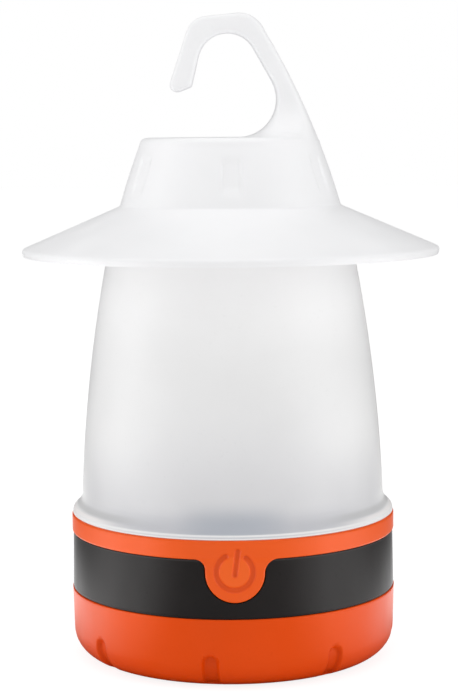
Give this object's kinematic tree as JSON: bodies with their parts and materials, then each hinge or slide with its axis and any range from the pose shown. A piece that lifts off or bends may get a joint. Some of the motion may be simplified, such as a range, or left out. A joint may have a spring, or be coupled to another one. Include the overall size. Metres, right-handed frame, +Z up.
{
  "type": "camping lantern",
  "caption": "Hanging battery camping lantern: white hat with brim and hook, frosted diffuser, orange and black base with push button and screw-on battery cover.",
  "frame": {"origin": "on the ground, at the lantern's axis", "axes": "+Z up along the axis; the button faces -Y; the hook opens towards -X"},
  "size_m": [0.1006, 0.1006, 0.1567],
  "materials": {
    "white_plastic": "satin, slightly translucent",
    "frosted_plastic": "frosted, translucent",
    "soft_orange": "satin",
    "orange_plastic": "satin",
    "black_plastic": "satin",
    "soft_seal": "matte",
    "board_metal": "matte",
    "chip_plastic": "gloss",
    "board_laminate": "satin",
    "steel": "plain",
    "cell_shell": "printed sleeve",
    "lead_red": "satin",
    "lead_black": "satin"
  },
  "bodies": {
    "housing": {"diffuser": "frosted_plastic", "diffuser_gasket": "soft_seal", "collar_ring": "soft_orange", "housing": "black_plastic", "led_board": "board_metal", "led_chips": "chip_plastic", "led_board_screws": "steel", "driver_board": "board_laminate", "driver_parts": "black_plastic", "switch_body": "black_plastic", "battery_tray": "black_plastic", "tray_screws": "steel", "cell_front": "cell_shell", "cell_middle": "cell_shell", "cell_rear": "cell_shell", "contact_springs": "steel", "link_plate_right": "steel", "link_plate_left": "steel", "terminal_positive": "steel", "terminal_negative": "steel", "battery_lead_positive": "lead_red", "battery_lead_negative": "lead_black", "led_lead_positive": "lead_red", "led_lead_negative": "lead_black"},
    "power_button": {"power_button": "soft_orange"},
    "switch_plunger": {"switch_plunger": "white_plastic"},
    "cover_o_ring": {"cover_o_ring": "soft_seal"},
    "battery_cover": {"battery_cover": "orange_plastic"},
    "hat_gasket": {"hat_gasket": "soft_seal"},
    "hat": {"hat": "white_plastic"}
  },
  "joints": [
    {"name": "button_press", "type": "hinge", "parent": "housing", "child": "power_button", "pos_m": [0, -0.03915, 0.0306], "axis": [1, 0, 0], "range_deg": [0, 3.5]},
    {"name": "plunger_travel", "type": "slide", "parent": "housing", "child": "switch_plunger", "axis": [0, 1, 0], "range_m": [0, 0.000349], "stiffness_N_per_m": 4500},
    {"name": "cover_turn", "type": "hinge", "parent": "housing", "child": "cover_o_ring", "pos_m": [0, 0, 0.01], "axis": [0, 0, -1], "range_deg": [0, 270]},
    {"name": "cover_drop", "type": "slide", "parent": "cover_o_ring", "child": "battery_cover", "axis": [0, 0, -1], "range_m": [0, 0.00676]},
    {"name": "hat_turn", "type": "hinge", "parent": "housing", "child": "hat_gasket", "pos_m": [0, 0, 0.115], "axis": [0, 0, 1], "range_deg": [0, 270]},
    {"name": "hat_rise", "type": "slide", "parent": "hat_gasket", "child": "hat", "axis": [0, 0, 1], "range_m": [0, 0.00676]}
  ],
  "couplings": [
    {"joint": "button_press", "follows": "plunger_travel", "rad_per_m": 174.67},
    {"joint": "cover_drop", "follows": "cover_turn", "m_per_rad": 0.0014324},
    {"joint": "hat_rise", "follows": "hat_turn", "m_per_rad": 0.0014324}
  ]
}
